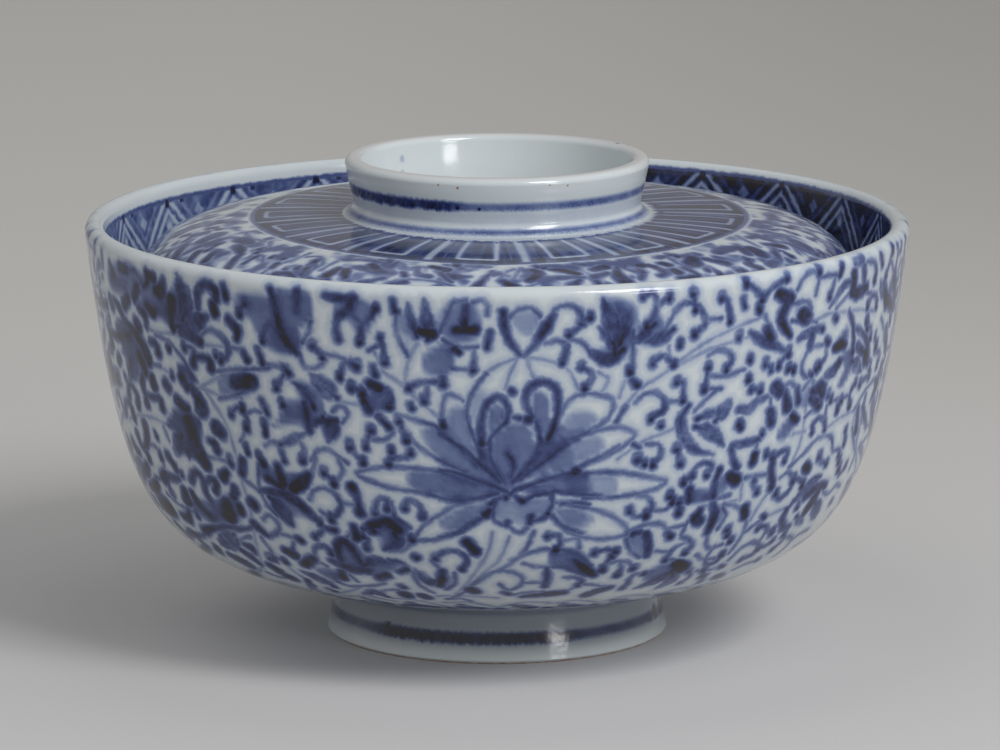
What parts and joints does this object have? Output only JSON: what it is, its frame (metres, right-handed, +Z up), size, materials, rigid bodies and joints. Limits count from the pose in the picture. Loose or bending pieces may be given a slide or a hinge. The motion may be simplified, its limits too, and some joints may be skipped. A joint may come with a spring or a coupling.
{
  "type": "donburi bowl with lid",
  "caption": "Deep round porcelain rice bowl on a turned foot ring, with a domed lid that drops inside the mouth and lifts by a ring-shaped grip; blue scrolling-vine decoration.",
  "frame": {"origin": "centre of the foot ring, on the table", "axes": "+Z up along the axis of the bowl; +X to the right and +Y away from the side with the large flower"},
  "size_m": [0.15, 0.15, 0.0877],
  "materials": {
    "painted_porcelain": "white porcelain with underglaze cobalt painting under a clear gloss glaze",
    "banded_porcelain": "white porcelain with cobalt bands under a clear gloss glaze"
  },
  "bodies": {
    "bowl": {"bowl_body": "painted_porcelain", "foot_ring": "banded_porcelain"},
    "lid": {"lid_dome": "painted_porcelain", "grip_ring": "banded_porcelain"}
  },
  "joints": [
    {"name": "lid_lift", "type": "slide", "parent": "bowl", "child": "lid", "axis": [0, 0, 1], "range_m": [0, 0.08]}
  ]
}
